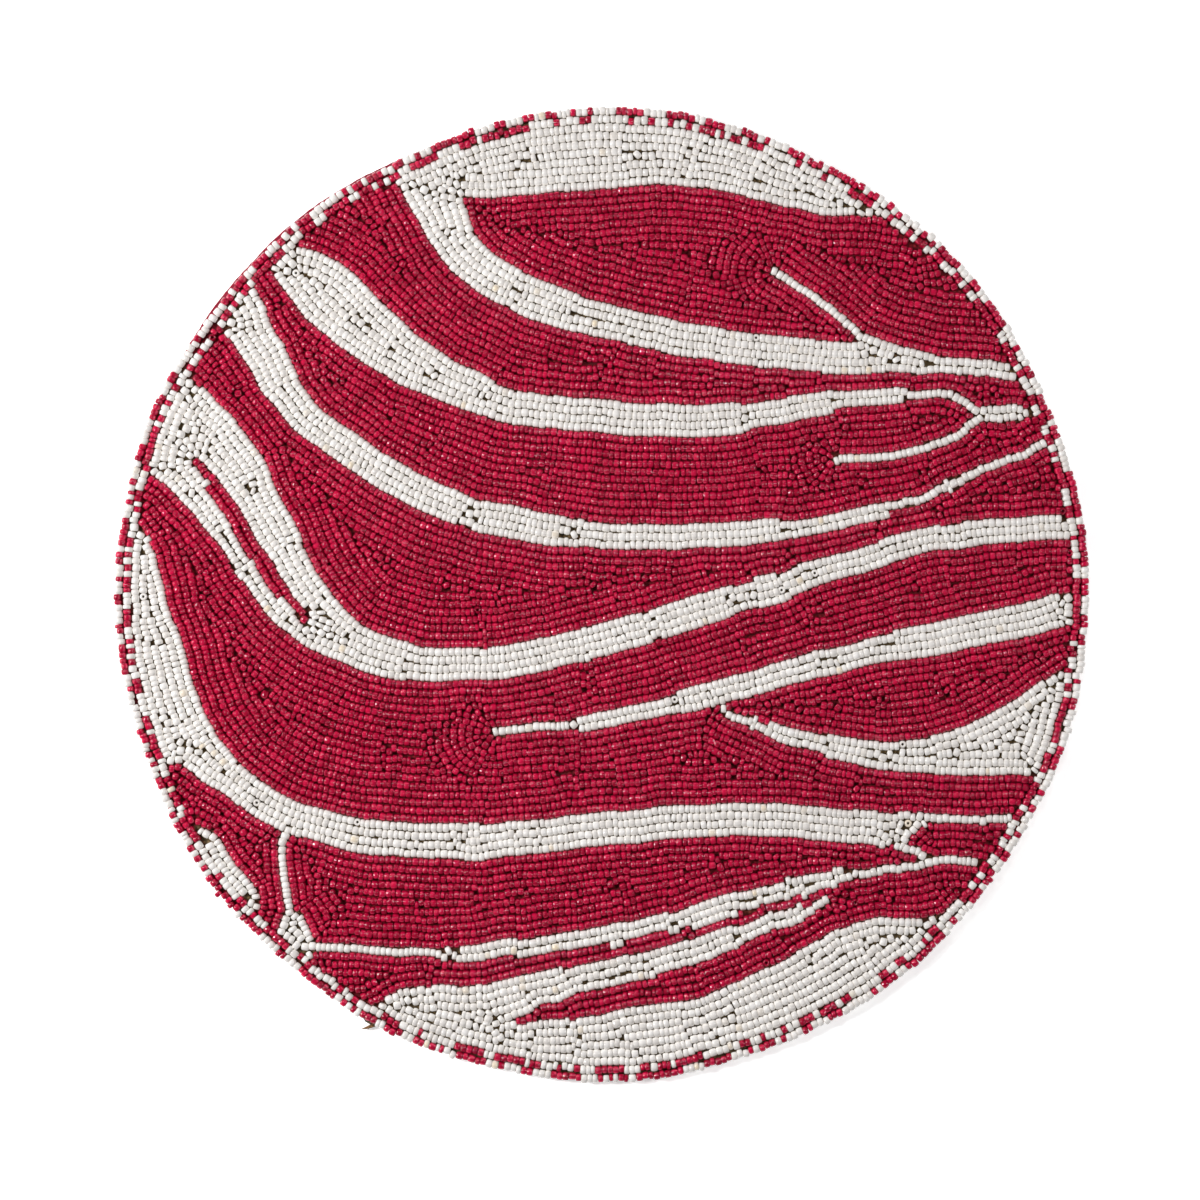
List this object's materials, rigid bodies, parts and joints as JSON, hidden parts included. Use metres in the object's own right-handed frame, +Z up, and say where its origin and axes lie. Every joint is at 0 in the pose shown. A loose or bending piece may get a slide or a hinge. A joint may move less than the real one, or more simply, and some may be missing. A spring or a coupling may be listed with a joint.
{
  "type": "round beaded placemat",
  "caption": "Flat round placemat of sewn glass beads in off-white and raspberry bands on a canvas ground with felt backing.",
  "frame": {"origin": "middle of the underside, on the table", "axes": "+Z up, +Y to the back of the table setting, as at the top of the picture, +X to the right"},
  "size_m": [0.3808, 0.3811, 0.0058],
  "materials": {
    "backing_felt": "matt dark red felt",
    "ground_canvas": "plain brown canvas",
    "red_beads": "opaque raspberry red glass, semi-gloss",
    "white_beads": "opaque off-white glass, soft pearl gloss"
  },
  "bodies": {
    "root": {"backing_cloth": "backing_felt", "ground_cloth": "ground_canvas", "bead_field": "red_beads", "edge_row_inner": "white_beads", "edge_row_outer": "red_beads"}
  },
  "joints": []
}
